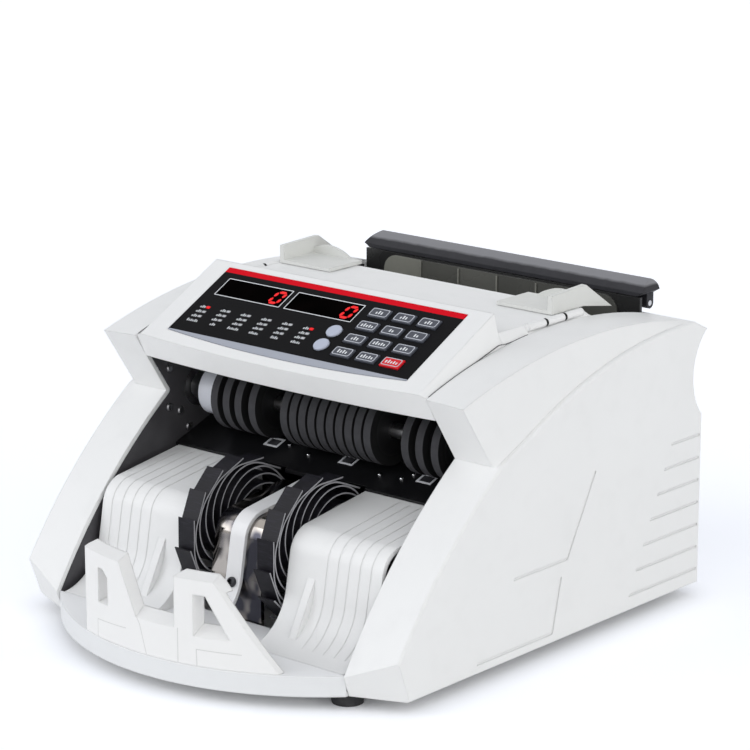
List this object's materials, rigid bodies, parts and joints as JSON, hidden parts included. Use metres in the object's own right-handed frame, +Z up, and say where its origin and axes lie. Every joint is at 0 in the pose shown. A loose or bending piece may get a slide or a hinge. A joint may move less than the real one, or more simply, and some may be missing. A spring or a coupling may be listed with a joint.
{
  "type": "banknote counting machine",
  "caption": "Bench-top banknote counter: sloping keypad console between moulded side covers, open rubber disc transport, spiral stacker wheels, note stop and rear hopper with sliding guides.",
  "frame": {"origin": "on the ground under the middle of the machine's bounding box", "axes": "+Z up, -Y the front with the stacker, +X to the right as seen from the front"},
  "size_m": [0.258, 0.302, 0.1776],
  "materials": {
    "shell": "fine spark-eroded off-white moulding",
    "stop": "slightly warm off-white moulding",
    "panel": "printed overlay: black, red stripe, blue-grey foot",
    "display": "dark lens with red digits",
    "lamp": "small lamps",
    "key_slate": "dark slate key with a light outline",
    "key_red": "red key",
    "key_grey": "light grey round key",
    "board": "green lacquered board",
    "frame_steel": "black powder coat",
    "bright_steel": "ground steel",
    "screw": "plated steel",
    "chrome": "bright plating",
    "strip": "light grey strip",
    "lens": "dark polished lens",
    "smoke": "smoky olive-grey sheet",
    "tread": "grey ground rubber",
    "roller_white": "white moulding",
    "impeller": "black glossy blades",
    "pulley": "black moulding",
    "motor": "zinc-grey can",
    "belt": "black belt",
    "core": "varnished laminations",
    "foot": "black rubber",
    "support": "charcoal moulding",
    "fitting": "black moulding"
  },
  "bodies": {
    "chassis": {"base_pan": "shell", "centre_bracket": "chrome", "centre_guide_strip": "strip", "circuit_boards": "board", "control_panel": "panel", "display_windows": "display", "drive_belts": "belt", "drive_motor": "motor", "frame_screws": "screw", "front_apron": "shell", "front_note_stop": "stop", "head_cover": "shell", "hopper_back_plate": "smoke", "hopper_floor": "frame_steel", "left_frame_plate": "frame_steel", "left_side_cover": "shell", "left_stacker_bed": "shell", "mode_lamps": "lamp", "power_inlet": "fitting", "rear_cover": "shell", "right_frame_plate": "frame_steel", "right_side_cover": "shell", "right_stacker_bed": "shell", "rubber_feet": "foot", "sensor_plate": "frame_steel", "sensor_windows": "lens", "shaft_bearings": "bright_steel", "support_pin": "bright_steel", "tie_rods": "bright_steel", "transformer": "core"},
    "counting_roller": {"counting_shaft": "bright_steel", "counting_discs": "tread", "white_roller": "roller_white", "counting_pulley": "pulley"},
    "feed_roller": {"feed_shaft": "bright_steel", "feed_rollers": "tread", "feed_pulley": "pulley"},
    "impellers": {"impeller_shaft": "bright_steel", "left_impeller": "impeller", "right_impeller": "impeller", "impeller_pulley": "pulley"},
    "motor_rotor": {"motor_pulley": "pulley"},
    "left_guide": {"left_note_guide": "shell"},
    "right_guide": {"right_note_guide": "shell"},
    "rear_support": {"rear_note_support": "support"},
    "power_rocker": {"power_switch": "fitting"},
    "key_1_1_button": {"key_1_1": "key_slate"},
    "key_1_2_button": {"key_1_2": "key_slate"},
    "key_1_3_button": {"key_1_3": "key_red"},
    "key_2_1_button": {"key_2_1": "key_slate"},
    "key_2_2_button": {"key_2_2": "key_slate"},
    "key_2_3_button": {"key_2_3": "key_slate"},
    "key_3_1_button": {"key_3_1": "key_slate"},
    "key_3_2_button": {"key_3_2": "key_slate"},
    "key_3_3_button": {"key_3_3": "key_slate"},
    "key_4_1_button": {"key_4_1": "key_slate"},
    "key_4_2_button": {"key_4_2": "key_slate"},
    "key_4_3_button": {"key_4_3": "key_slate"},
    "lower_round_key_button": {"lower_round_key": "key_grey"},
    "upper_round_key_button": {"upper_round_key": "key_grey"}
  },
  "joints": [
    {"name": "counting_spin", "type": "hinge", "parent": "chassis", "child": "counting_roller", "pos_m": [0, -0.001, 0.108], "axis": [1, 0, 0], "continuous": true},
    {"name": "feed_spin", "type": "hinge", "parent": "chassis", "child": "feed_roller", "pos_m": [0, 0.07044, 0.10473], "axis": [1, 0, 0], "continuous": true},
    {"name": "impeller_spin", "type": "hinge", "parent": "chassis", "child": "impellers", "pos_m": [0, -0.05, 0.0515], "axis": [1, 0, 0], "continuous": true},
    {"name": "motor_spin", "type": "hinge", "parent": "chassis", "child": "motor_rotor", "pos_m": [0, 0.074, 0.049], "axis": [1, 0, 0], "continuous": true},
    {"name": "left_guide_slide", "type": "slide", "parent": "chassis", "child": "left_guide", "axis": [1, 0, 0], "range_m": [0, 0.028]},
    {"name": "right_guide_slide", "type": "slide", "parent": "chassis", "child": "right_guide", "axis": [-1, 0, 0], "range_m": [0, 0.028]},
    {"name": "rear_support_fold", "type": "hinge", "parent": "chassis", "child": "rear_support", "pos_m": [0, 0.1465, 0.157], "axis": [-1, 0, 0], "range_deg": [0, 70]},
    {"name": "power_rock", "type": "hinge", "parent": "chassis", "child": "power_rocker", "pos_m": [-0.024, 0.1455, 0.047], "axis": [1, 0, 0], "range_deg": [-7, 7]},
    {"name": "key_1_1_press", "type": "slide", "parent": "chassis", "child": "key_1_1_button", "axis": [0, 0.4555, -0.8902], "range_m": [0, 0.0006], "stiffness_N_per_m": 300},
    {"name": "key_1_2_press", "type": "slide", "parent": "chassis", "child": "key_1_2_button", "axis": [0, 0.4555, -0.8902], "range_m": [0, 0.0006], "stiffness_N_per_m": 300},
    {"name": "key_1_3_press", "type": "slide", "parent": "chassis", "child": "key_1_3_button", "axis": [0, 0.4555, -0.8902], "range_m": [0, 0.0006], "stiffness_N_per_m": 300},
    {"name": "key_2_1_press", "type": "slide", "parent": "chassis", "child": "key_2_1_button", "axis": [0, 0.4555, -0.8902], "range_m": [0, 0.0006], "stiffness_N_per_m": 300},
    {"name": "key_2_2_press", "type": "slide", "parent": "chassis", "child": "key_2_2_button", "axis": [0, 0.4555, -0.8902], "range_m": [0, 0.0006], "stiffness_N_per_m": 300},
    {"name": "key_2_3_press", "type": "slide", "parent": "chassis", "child": "key_2_3_button", "axis": [0, 0.4555, -0.8902], "range_m": [0, 0.0006], "stiffness_N_per_m": 300},
    {"name": "key_3_1_press", "type": "slide", "parent": "chassis", "child": "key_3_1_button", "axis": [0, 0.4555, -0.8902], "range_m": [0, 0.0006], "stiffness_N_per_m": 300},
    {"name": "key_3_2_press", "type": "slide", "parent": "chassis", "child": "key_3_2_button", "axis": [0, 0.4555, -0.8902], "range_m": [0, 0.0006], "stiffness_N_per_m": 300},
    {"name": "key_3_3_press", "type": "slide", "parent": "chassis", "child": "key_3_3_button", "axis": [0, 0.4555, -0.8902], "range_m": [0, 0.0006], "stiffness_N_per_m": 300},
    {"name": "key_4_1_press", "type": "slide", "parent": "chassis", "child": "key_4_1_button", "axis": [0, 0.4555, -0.8902], "range_m": [0, 0.0006], "stiffness_N_per_m": 300},
    {"name": "key_4_2_press", "type": "slide", "parent": "chassis", "child": "key_4_2_button", "axis": [0, 0.4555, -0.8902], "range_m": [0, 0.0006], "stiffness_N_per_m": 300},
    {"name": "key_4_3_press", "type": "slide", "parent": "chassis", "child": "key_4_3_button", "axis": [0, 0.4555, -0.8902], "range_m": [0, 0.0006], "stiffness_N_per_m": 300},
    {"name": "lower_round_key_press", "type": "slide", "parent": "chassis", "child": "lower_round_key_button", "axis": [0, 0.4555, -0.8902], "range_m": [0, 0.0006], "stiffness_N_per_m": 300},
    {"name": "upper_round_key_press", "type": "slide", "parent": "chassis", "child": "upper_round_key_button", "axis": [0, 0.4555, -0.8902], "range_m": [0, 0.0006], "stiffness_N_per_m": 300}
  ],
  "couplings": [
    {"joint": "feed_spin", "follows": "counting_spin", "ratio": 0.77778},
    {"joint": "impeller_spin", "follows": "counting_spin", "ratio": 0.4},
    {"joint": "motor_spin", "follows": "counting_spin", "ratio": 1.3333}
  ]
}
